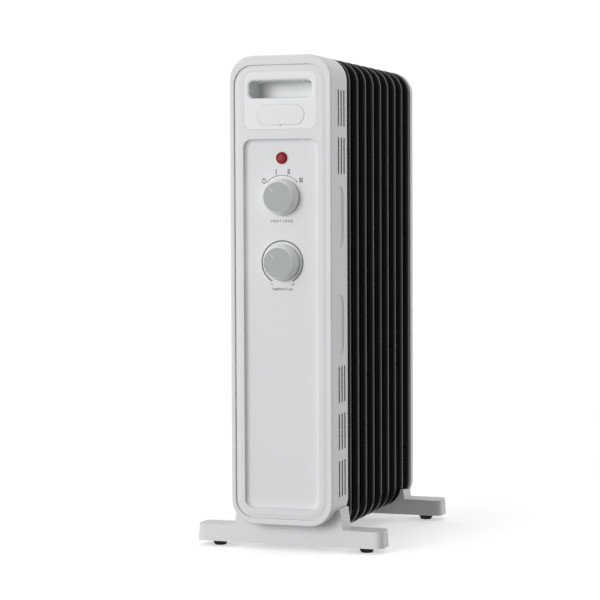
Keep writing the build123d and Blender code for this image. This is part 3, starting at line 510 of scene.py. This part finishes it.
def studio_paper(name, colour, glow):
    """Even pale paper for the studio floor."""
    finish, tree, shader, place = blank_finish(name)
    tree.links.new(tint(tree, noise(tree, place, 1.5), colour, 0.99, 1.0), shader.inputs["Base Color"])
    shader.inputs["Roughness"].default_value = 0.9
    shader.inputs["Specular IOR Level"].default_value = 0.1
    shader.inputs["Emission Color"].default_value = (1.0, 1.0, 1.0, 1.0)
    shader.inputs["Emission Strength"].default_value = glow
    return finish


# ---------------------------------------------------------------- making and placing pieces


def dress(finish, *nodes):
    """Gives solids of the model a finish."""
    for node in nodes:
        solids[node].material_slots[0].material = finish


def to_piece(name, shape, finish, body=MAIN_BODY, smooth=True, crease=35.0):
    """Turns a bmesh, already in its place, into a finished piece on a body."""
    bmesh.ops.remove_doubles(shape, verts=shape.verts, dist=1e-6)
    bmesh.ops.recalc_face_normals(shape, faces=shape.faces)
    mesh = bpy.data.meshes.new(name)
    shape.to_mesh(mesh)
    shape.free()
    mesh.materials.append(finish)
    piece = bpy.data.objects.new(name, mesh)
    bpy.context.scene.collection.objects.link(piece)
    if smooth:
        mesh.shade_smooth()
        mesh.set_sharp_from_angle(angle=math.radians(crease))
    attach(piece, body)
    return piece


def on_panel(shape, x, y, z):
    """Moves a shape that was drawn flat to a place on the panel, its top towards the front."""
    bmesh.ops.transform(shape, matrix=Matrix.Translation((x, y, z)) @ TO_PANEL, verts=shape.verts)


def add_block(shape, x, y, width, height, low, high, turn=0.0):
    """A flat block about (x, y), between two heights."""
    at = Matrix.Translation((x, y, (low + high) / 2)) @ Matrix.Rotation(turn, 4, "Z")
    size = Matrix.Diagonal((width, height, high - low, 1.0))
    bmesh.ops.create_cube(shape, size=1.0, matrix=at @ size)


def add_disc(shape, x, y, radius, low, high, steps=32):
    """A flat disc about (x, y), between two heights."""
    at = Matrix.Translation((x, y, (low + high) / 2))
    bmesh.ops.create_cone(
        shape, cap_ends=True, segments=steps, radius1=radius, radius2=radius, depth=high - low, matrix=at
    )


def add_arc(shape, x, y, radius, line, start, sweep, low, high, steps):
    """A flat arc of a ring about (x, y); angles are in degrees from straight up, clockwise."""
    first = math.radians(90.0 - start)
    along = Vector((math.cos(first), math.sin(first), 0.0))
    corners = []
    for reach, level in ((-0.5, low), (0.5, low), (0.5, high), (-0.5, high)):
        point = along * (radius + reach * line)
        corners.append(shape.verts.new((x + point.x, y + point.y, level)))
    face = shape.faces.new(corners)
    full = abs(sweep) > 359.9
    bmesh.ops.spin(
        shape,
        geom=[face, *face.edges, *face.verts],
        cent=(x, y, 0.0),
        axis=(0.0, 0.0, -1.0),
        angle=math.radians(sweep),
        steps=steps,
        use_merge=full,
    )


def turned(profile, steps):
    """A shape turned about the local Z axis from (radius, height) pairs."""
    shape = bmesh.new()
    points = [shape.verts.new((radius, 0.0, level)) for radius, level in profile]
    edges = [shape.edges.new(pair) for pair in zip(points, points[1:])]
    bmesh.ops.spin(
        shape,
        geom=[*points, *edges],
        cent=(0.0, 0.0, 0.0),
        axis=(0.0, 0.0, 1.0),
        angle=2 * math.pi,
        steps=steps,
        use_merge=True,
    )
    return shape


def word_shape(words, width, height, depth):
    """Plain capital letters as a flat shape of a stated width and height."""
    curve = bpy.data.curves.new("word", "FONT")
    curve.body = words
    curve.align_x = "CENTER"
    curve.align_y = "CENTER"
    curve.extrude = 0.5
    curve.offset = 0.022
    curve.space_character = 1.08
    source = bpy.data.objects.new("word", curve)
    bpy.context.scene.collection.objects.link(source)
    ready = source.evaluated_get(bpy.context.evaluated_depsgraph_get())
    mesh = bpy.data.meshes.new_from_object(ready)
    shape = bmesh.new()
    shape.from_mesh(mesh)
    bpy.data.objects.remove(source)
    bpy.data.curves.remove(curve)
    bpy.data.meshes.remove(mesh)
    low = Vector((min(v.co[i] for v in shape.verts) for i in range(3)))
    high = Vector((max(v.co[i] for v in shape.verts) for i in range(3)))
    size = high - low
    bmesh.ops.translate(shape, verts=shape.verts, vec=-(low + high) / 2)
    bmesh.ops.scale(shape, verts=shape.verts, vec=(width / size.x, height / size.y, depth / size.z))
    return shape


# ---------------------------------------------------------------- the heater's pieces


class HEATER_OT_casing(bpy.types.Operator):
    """Finish the moulded casing, fascia, handle insert, rear cover and feet"""

    bl_idname = "heater.casing"
    bl_label = "Casing"

    def execute(self, context):
        colours = context.scene.heater_colours
        shell = moulded("casing_plastic_satin", colours.casing, 0.36)
        face = moulded("fascia_plastic_satin", colours.casing, 0.33)
        feet = moulded("foot_plastic_satin", [c * 0.985 for c in colours.casing], 0.38, 0.07)
        dress(shell, "rear_cover")
        # The housing's finish paints shade deep inside its vent slots
        dress(slots_with_painted_shade("housing_plastic_painted_slot_shade", colours.casing), "control_box_housing")
        dress(face, "front_fascia")
        dress(moulded("insert_plastic_satin", [c * 1.1 for c in colours.casing], 0.33), "handle_insert")
        dress(feet, "foot_front", "foot_rear")
        return {"FINISHED"}


class HEATER_OT_badge(bpy.types.Operator):
    """Finish the blank badge plate and add the small notch mark below it, a flat dark disc of painted shade
    """

    bl_idname = "heater.badge"
    bl_label = "Badge"

    def execute(self, context):
        colours = context.scene.heater_colours
        badge = moulded("badge_plastic_smooth", [c * 1.07 for c in colours.casing], 0.28, 0.02)
        dress(badge, "badge_plate")
        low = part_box("badge_plate")[0]
        # A flat dark disc paints the shade of the notch under the badge
        shape = bmesh.new()
        add_disc(shape, 0.0, 0.0, 0.9 * MM, -0.3 * MM, 0.12 * MM, 24)
        on_panel(shape, BADGE.x + 0.2 * MM, FASCIA_Y, low.z - 0.3 * MM)
        to_piece("badge_notch", shape, printed("notch_painted_shade", (0.05, 0.05, 0.055)))
        return {"FINISHED"}


class HEATER_OT_dials(bpy.types.Operator):
    """Finish the two rotary dials and their shafts, and set a pale mark of painted highlight in each dial's
    groove
    """

    bl_idname = "heater.dials"
    bl_label = "Dials"

    def execute(self, context):
        colours = context.scene.heater_colours
        sizes = context.scene.heater_sizes
        satin = dial_finish("dial_plastic_painted_side_light", colours.knob_side_painted_light, colours.knob)
        dress(satin, "heat_knob", "thermostat_knob")
        dress(plated("shaft_plated", (0.62, 0.63, 0.64), 0.3), "heat_shaft", "thermostat_shaft")
        # A pale block in each groove paints the highlight of the groove
        painted_highlight = printed("pointer_painted_highlight", [min(1.0, c * 1.7) for c in colours.knob])
        middle = sizes.pointer_reach * math.sqrt(0.5)
        long, wide, turn = sizes.pointer_length, sizes.pointer_line, math.radians(135.0)
        bottom, top = -0.55 * MM, -0.25 * MM
        for knob, body in (("heat_knob", "heat_dial"), ("thermostat_knob", "thermostat_dial")):
            shape = bmesh.new()
            add_block(shape, -middle, middle, long, wide, bottom, top, turn)
            on_panel(shape, 0.0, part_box(knob)[0].y, middle_of(knob).z)
            to_piece(knob.replace("knob", "pointer"), shape, painted_highlight, body)
        return {"FINISHED"}


class HEATER_OT_dial_marks(bpy.types.Operator):
    """Print the heat scale, the thermostat ring and the plain words"""

    bl_idname = "heater.dial_marks"
    bl_label = "Dial marks"

    def execute(self, context):
        colours = context.scene.heater_colours
        sizes = context.scene.heater_sizes
        words = context.scene.heater_words
        ink = printed("scale_ink", colours.ink)
        faint = printed("word_ink", [min(1.0, c * 1.5) for c in colours.ink])
        low, high = -0.02 * MM, sizes.ink_depth

        arcs = bmesh.new()
        for start, sweep in SCALE_ARCS:
            add_arc(arcs, 0.0, 0.0, sizes.scale_radius, sizes.scale_line, start, sweep, low, high, 16)
        for angle in SCALE_DOTS:
            x = sizes.scale_radius * math.sin(math.radians(angle))
            y = sizes.scale_radius * math.cos(math.radians(angle))
            add_disc(arcs, x, y, sizes.dot_radius, low, high)
        on_panel(arcs, HEAT_DIAL.x, PANEL_Y, HEAT_DIAL.z)
        to_piece("heat_scale", arcs, ink)

        numerals = bmesh.new()
        tall = sizes.numeral_height
        serif = 0.4 * MM
        pitch = 1.65 * MM
        stroke = 1.1 * MM
        for bars, x, y, wide in NUMERALS:
            wide *= MM
            for index in range(bars):
                offset = (index - (bars - 1) / 2) * pitch
                add_block(numerals, x * MM + offset, y * MM, stroke, tall, low, high)
            for end in (-1, 1):
                add_block(numerals, x * MM, y * MM + end * (tall - serif) / 2, wide, serif, low, high)
        zero = bmesh.new()
        radius, line, narrowing = 2.75 * MM, 1.35 * MM, 0.74
        add_arc(zero, 0.0, 0.0, radius, line, 0.0, 360.0, low, high, 48)
        bmesh.ops.scale(zero, verts=zero.verts, vec=(narrowing, 1.0, 1.0))
        bmesh.ops.translate(zero, verts=zero.verts, vec=ZERO_PLACE)
        spare = bpy.data.meshes.new("zero")
        zero.to_mesh(spare)
        zero.free()
        numerals.from_mesh(spare)
        bpy.data.meshes.remove(spare)
        on_panel(numerals, HEAT_DIAL.x, PANEL_Y, HEAT_DIAL.z)
        to_piece("heat_numerals", numerals, ink)

        ring = bmesh.new()
        add_arc(ring, 0.0, 0.0, sizes.ring_radius, sizes.ring_line, -150.0, 300.0, low, high, 120)
        on_panel(ring, THERMOSTAT_DIAL.x, PANEL_Y, THERMOSTAT_DIAL.z)
        to_piece("thermostat_ring", ring, ink)

        signs = bmesh.new()
        out, drop = 13.9 * MM, -27.1 * MM
        bar, line = 3.0 * MM, 0.9 * MM
        for x, width, height in ((-out, bar, line), (out, bar, line), (out, line, bar)):
            add_block(signs, x, drop, width, height, low, high)
        on_panel(signs, THERMOSTAT_DIAL.x, PANEL_Y, THERMOSTAT_DIAL.z)
        to_piece("thermostat_signs", signs, ink)

        for name, text, dial, width, shift, drop in (
            ("heat_word", words.heat, HEAT_DIAL, 29.5 * MM, 0.4 * MM, 29.5 * MM),
            ("thermostat_word", words.thermostat, THERMOSTAT_DIAL, 27.7 * MM, -0.2 * MM, 33.1 * MM),
        ):
            word = word_shape(text, width, sizes.word_height, sizes.ink_depth)
            on_panel(word, dial.x + shift, PANEL_Y - sizes.ink_depth / 2, dial.z - drop)
            to_piece(name, word, faint, smooth=False)
        return {"FINISHED"}


class HEATER_OT_indicator(bpy.types.Operator):
    """Turn the red indicator lens and its bezel, and finish the lamp behind it"""

    bl_idname = "heater.indicator"
    bl_label = "Indicator"

    def execute(self, context):
        colours = context.scene.heater_colours
        sizes = context.scene.heater_sizes
        face = sizes.lens_face
        profile = (
            (0.0, 4.15 * MM),
            (0.55 * face, 4.1 * MM),
            (0.86 * face, 3.95 * MM),
            (0.97 * face, 3.75 * MM),
            (1.03 * face, 3.4 * MM),
            (5.0 * MM, 1.7 * MM),
            (5.6 * MM, 0.7 * MM),
            (6.1 * MM, 0.45 * MM),
            (6.5 * MM, 0.6 * MM),
            (6.7 * MM, 1.05 * MM),
            (6.95 * MM, 1.25 * MM),
            (7.2 * MM, 1.15 * MM),
            (7.4 * MM, 0.8 * MM),
            (7.45 * MM, 0.02 * MM),
            (5.8 * MM, 0.02 * MM),
            (5.8 * MM, -6.0 * MM),
            (4.4 * MM, -6.0 * MM),
            (4.4 * MM, 0.5 * MM),
            (0.0, 1.2 * MM),
        )
        lens = turned(profile, sizes.round_steps)
        on_panel(lens, LAMP.x, PANEL_Y, LAMP.z)
        red = glassy("lens_red", colours.lens, 0.16, 0.1, 0.6)
        piece = to_piece("lamp_lens", lens, red, crease=50.0)
        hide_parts("indicator_lens")

        bezel = turned(
            (
                (7.5 * MM, -0.05 * MM),
                (7.5 * MM, 0.45 * MM),
                (7.7 * MM, 0.62 * MM),
                (8.0 * MM, 0.6 * MM),
                (8.6 * MM, 0.2 * MM),
                (8.8 * MM, -0.05 * MM),
                (7.5 * MM, -0.05 * MM),
            ),
            sizes.round_steps,
        )
        on_panel(bezel, LAMP.x, PANEL_Y, LAMP.z)
        to_piece("lamp_bezel", bezel, moulded("bezel_plastic", colours.casing, 0.3, 0.02))
        dress(glassy("lamp_glass_clear", (0.9, 0.85, 0.8), 0.04, 0.9, 0.0), "neon_lamp")
        return {"FINISHED"}


class HEATER_OT_vent_shade_sheets(bpy.types.Operator):
    """Set dark sheets behind the vent slots of both side walls, which paint in shade there"""

    bl_idname = "heater.vent_liners"
    bl_label = "Vent liners"

    def execute(self, context):
        low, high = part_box("control_box_housing")
        # A near-black sheet stands for the shade behind the slots
        shade_sheet = moulded("painted_shade_sheet_dark", (0.035, 0.036, 0.038), 0.6, 0.1)
        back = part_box("back_plate")[0].y - 1.0 * MM
        front = low.y + 18.0 * MM
        inset, thickness = 4.6 * MM, 0.6 * MM
        shape = bmesh.new()
        for side in (-1, 1):
            for bottom, top in SHADE_SHEET_ZONES:
                place = (side * (high.x - inset), (front + back) / 2, (bottom + top) / 2)
                size = Matrix.Diagonal((thickness, back - front, top - bottom, 1.0))
                bmesh.ops.create_cube(shape, size=1.0, matrix=Matrix.Translation(place) @ size)
        bmesh.ops.bevel(
            shape,
            geom=shape.edges[:],
            offset=0.15 * MM,
            offset_type="OFFSET",
            affect="EDGES",
            segments=1,
            profile=0.5,
            material=-1,
        )
        to_piece("vent_liners", shape, shade_sheet)
        return {"FINISHED"}


class HEATER_OT_fins(bpy.types.Operator):
    """Enamel the fins, the collectors and their caps"""

    bl_idname = "heater.fins"
    bl_label = "Fins"

    def execute(self, context):
        colours = context.scene.heater_colours
        black = enamelled("fin_enamel_satin", colours.enamel)
        fins = [name for name in solids if name.startswith("fin_")]
        dress(black, *fins, "lower_collectors", "upper_collectors", "header_caps")
        return {"FINISHED"}


class HEATER_OT_pads(bpy.types.Operator):
    """Finish the four rubber pads under the feet"""

    bl_idname = "heater.pads"
    bl_label = "Pads"

    def execute(self, context):
        rubber = rubbery("pad_rubber", (0.012, 0.012, 0.013))
        dress(rubber, *[name for name in solids if name.startswith("pad_")])
        return {"FINISHED"}


class HEATER_OT_metalwork(bpy.types.Operator):
    """Finish the back plate, brackets, screws and the heating element"""

    bl_idname = "heater.metalwork"
    bl_label = "Metalwork"

    def execute(self, context):
        zinc = plated("zinc_plate", (0.60, 0.62, 0.64), 0.34)
        sheet = plated("galvanised_sheet", (0.52, 0.54, 0.56), 0.45, (1.0, 1.0, 0.1))
        brass = plated("bare_brass", (0.72, 0.55, 0.28), 0.32)
        tube = plated("element_tube", (0.35, 0.33, 0.32), 0.4, (1.0, 0.1, 1.0))
        dress(sheet, "back_plate", "foot_bracket", "thermal_cutout", "tip_pendulum")
        dress(
            zinc,
            "back_plate_screws",
            "fascia_screws",
            "foot_screws",
            "mounting_studs",
            "rear_cover_screws",
            "stud_nuts",
            "stud_spacers",
            "tip_switch_pin",
            "u_bolt",
            "u_bolt_nuts",
        )
        dress(brass, "bushing_nuts", "element_flange", "switch_terminals", "thermostat_strip")
        dress(tube, "heating_element")
        return {"FINISHED"}


class HEATER_OT_controls(bpy.types.Operator):
    """Finish the switch, thermostat, terminal block, gland and wiring inside the box"""

    bl_idname = "heater.controls"
    bl_label = "Controls inside"

    def execute(self, context):
        dark = moulded("control_plastic_dark", (0.03, 0.03, 0.033), 0.45, 0.08)
        cream = moulded("terminal_plastic", (0.55, 0.53, 0.47), 0.4, 0.05)
        wire = moulded("wire_sheath", (0.22, 0.10, 0.04), 0.35, 0.02)
        dress(dark, "heat_switch", "thermostat_body", "lamp_holder", "cable_gland", "gland_nut")
        dress(cream, "terminal_block", "tip_switch_body")
        dress(wire, "wiring")
        return {"FINISHED"}


class HEATER_OT_studio(bpy.types.Operator):
    """Set the pale floor, the soft lights and the camera"""

    bl_idname = "heater.studio"
    bl_label = "Studio"

    def execute(self, context):
        scene = context.scene
        studio = scene.heater_studio
        shape = bmesh.new()
        bmesh.ops.create_circle(shape, cap_ends=True, segments=128, radius=studio.floor_radius)
        mesh = bpy.data.meshes.new("studio_floor")
        shape.to_mesh(mesh)
        shape.free()
        mesh.materials.append(studio_paper("paper_white", (0.9, 0.9, 0.9), 0.45))
        floor = bpy.data.objects.new("studio_floor", mesh)
        scene.collection.objects.link(floor)
        floor.visible_diffuse = False
        floor.visible_glossy = False

        sky = bpy.data.worlds.new("studio_sky")
        sky.use_nodes = True
        tree = sky.node_tree
        room = tree.nodes["Background"]
        room.inputs["Color"].default_value = (1.0, 1.0, 1.0, 1.0)
        outward = tree.nodes.new("ShaderNodeTexCoord")
        total = studio.fill
        for strength, toward, start, end in (
            (studio.left, (-0.80, -0.55, 0.25), 0.1, 0.95),
            (studio.backdrop, (0.25, 0.96, 0.05), 0.05, 0.75),
        ):
            side = facing(tree, outward.outputs["Generated"], Vector(toward).normalized())
            total = arithmetic(tree, "ADD", ramp(tree, side, start, end, strength, True), total)
        tree.links.new(total, room.inputs["Strength"])
        seen = tree.nodes.new("ShaderNodeBackground")
        seen.inputs["Color"].default_value = (1.0, 1.0, 1.0, 1.0)
        seen.inputs["Strength"].default_value = 1.02
        rays = tree.nodes.new("ShaderNodeLightPath")
        mix = tree.nodes.new("ShaderNodeMixShader")
        tree.links.new(rays.outputs["Is Camera Ray"], mix.inputs["Fac"])
        tree.links.new(room.outputs["Background"], mix.inputs[1])
        tree.links.new(seen.outputs["Background"], mix.inputs[2])
        tree.links.new(mix.outputs["Shader"], tree.nodes["World Output"].inputs["Surface"])
        scene.world = sky

        middle = Vector((0.0, 0.0, 0.31))
        for name, power, size, place in (
            ("key_light", studio.key, (1.4, 1.4), (-1.05, -2.9, 0.85)),
            ("overhead_light", studio.overhead, (2.2, 2.2), (0.0, 0.0, 2.4)),
        ):
            light = bpy.data.lights.new(name, "AREA")
            light.shape = "RECTANGLE"
            light.size, light.size_y = size
            light.energy = power
            holder = bpy.data.objects.new(name, light)
            holder.location = place
            holder.rotation_mode = "QUATERNION"
            holder.rotation_quaternion = (middle - Vector(place)).to_track_quat("-Z", "Y")
            holder.visible_glossy = name != "key_light"
            scene.collection.objects.link(holder)

        camera = bpy.data.cameras.new("studio_camera")
        camera.sensor_width = 36.0
        camera.lens = studio.lens_length
        camera.clip_end = 100.0
        holder = bpy.data.objects.new("studio_camera", camera)
        scene.collection.objects.link(holder)
        aim = Matrix.Rotation(CAMERA_TURN, 4, "Z") @ Matrix.Rotation(math.pi / 2 + CAMERA_TILT, 4, "X")
        aim = aim @ Matrix.Rotation(CAMERA_ROLL, 4, "Z")
        holder.matrix_world = Matrix.Translation(CAMERA_PLACE) @ aim
        scene.camera = holder
        scene.view_settings.view_transform = "Standard"
        scene.view_settings.look = "None"
        return {"FINISHED"}


class HEATER_PT_panel(bpy.types.Panel):
    """Lists the heater's settings and makers in the sidebar"""

    bl_idname = "HEATER_PT_panel"
    bl_label = "Heater"
    bl_space_type = "VIEW_3D"
    bl_region_type = "UI"
    bl_category = "Heater"

    def draw(self, context):
        scene = context.scene
        for group in (scene.heater_colours, scene.heater_sizes, scene.heater_words, scene.heater_studio):
            box = self.layout.box()
            for name in group.bl_rna.properties.keys():
                if name not in ("rna_type", "name"):
                    box.prop(group, name)
        for maker in MAKERS:
            self.layout.operator(maker.bl_idname)


GROUPS = (HeaterColours, HeaterSizes, HeaterStudio, HeaterWords)
MAKERS = (
    HEATER_OT_casing,
    HEATER_OT_badge,
    HEATER_OT_dials,
    HEATER_OT_dial_marks,
    HEATER_OT_indicator,
    HEATER_OT_vent_shade_sheets,
    HEATER_OT_fins,
    HEATER_OT_pads,
    HEATER_OT_metalwork,
    HEATER_OT_controls,
    HEATER_OT_studio,
)


def register():
    """Registers the settings, the makers and the panel."""
    for kind in (*GROUPS, *MAKERS, HEATER_PT_panel):
        bpy.utils.register_class(kind)
    bpy.types.Scene.heater_colours = PointerProperty(type=HeaterColours)
    bpy.types.Scene.heater_sizes = PointerProperty(type=HeaterSizes)
    bpy.types.Scene.heater_studio = PointerProperty(type=HeaterStudio)
    bpy.types.Scene.heater_words = PointerProperty(type=HeaterWords)


def unregister():
    """Removes what register added."""
    del bpy.types.Scene.heater_words
    del bpy.types.Scene.heater_studio
    del bpy.types.Scene.heater_sizes
    del bpy.types.Scene.heater_colours
    for kind in reversed((*GROUPS, *MAKERS, HEATER_PT_panel)):
        bpy.utils.unregister_class(kind)


def main():
    """Makes every piece in order."""
    register()
    bpy.ops.heater.casing()
    bpy.ops.heater.badge()
    bpy.ops.heater.dials()
    bpy.ops.heater.dial_marks()
    bpy.ops.heater.indicator()
    bpy.ops.heater.vent_liners()
    bpy.ops.heater.fins()
    bpy.ops.heater.pads()
    bpy.ops.heater.metalwork()
    bpy.ops.heater.controls()
    bpy.ops.heater.studio()


if __name__ == "__main__":
    main()
